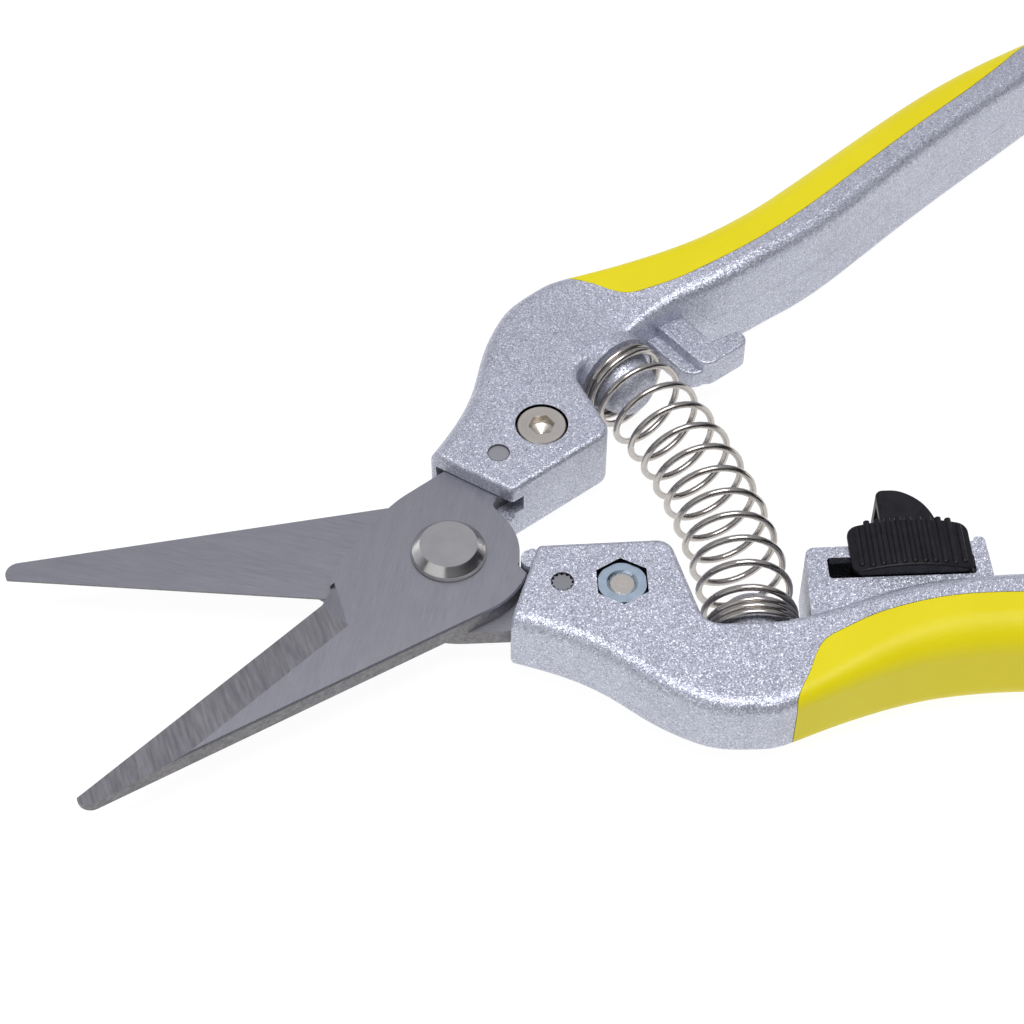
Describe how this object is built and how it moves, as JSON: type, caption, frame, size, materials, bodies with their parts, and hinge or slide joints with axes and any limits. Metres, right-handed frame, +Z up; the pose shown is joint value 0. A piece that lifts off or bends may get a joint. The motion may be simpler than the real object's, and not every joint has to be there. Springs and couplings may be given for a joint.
{
  "type": "floral snips",
  "caption": "Garden hand snips with straight narrow blades, cranked handles with inlaid grips, a return coil spring between them and a sliding lock.",
  "frame": {"origin": "middle of the open tool's box, on the plane its grips rest on", "axes": "+X from the blade tips back along the centre line to the handles, +Z up through the pivot rivet's head, +Y towards the handle of the upper blade"},
  "size_m": [0.2038, 0.139, 0.0176],
  "materials": {
    "cast_silver": "silver-grey metallic paint on an aluminium casting",
    "grip_yellow": "smooth satin moulded grip",
    "blade_steel": "satin ground stainless steel",
    "rivet_steel": "turned and polished",
    "pin_steel": "plain turned steel",
    "screw_nickel": "satin nickel plate",
    "nut_zinc": "bright zinc plate",
    "spring_nickel": "bright nickel plate",
    "lock_black": "semi-matte with a fine speckle",
    "washer_steel": "plain steel"
  },
  "bodies": {
    "lower_half": {"handle_lower": "cast_silver", "grip_lower": "grip_yellow", "blade_lower": "blade_steel", "locating_pin_lower": "pin_steel", "clamp_screw_lower": "screw_nickel", "clamp_nut_lower": "nut_zinc", "pivot_rivet": "rivet_steel", "pivot_washer_upper": "washer_steel", "pivot_washer_lower": "washer_steel", "return_spring": "spring_nickel"},
    "upper_half": {"handle_upper": "cast_silver", "grip_upper": "grip_yellow", "blade_upper": "blade_steel", "locating_pin_upper": "pin_steel", "clamp_screw_upper": "screw_nickel", "clamp_nut_upper": "nut_zinc"},
    "lock": {"lock_pad": "lock_black", "lock_tongue": "lock_black"}
  },
  "joints": [
    {"name": "cut_pivot", "type": "hinge", "parent": "lower_half", "child": "upper_half", "pos_m": [-0.03965, 0, 0.0088], "axis": [0, 0, -1], "range_deg": [0, 38.3], "stiffness_Nm_per_rad": 0.6, "springref_deg": -14.32, "deforming": ["return_spring"]},
    {"name": "lock_slide", "type": "slide", "parent": "lower_half", "child": "lock", "axis": [-0.9497, 0.3132, 0], "range_m": [0, 0.0043]}
  ]
}
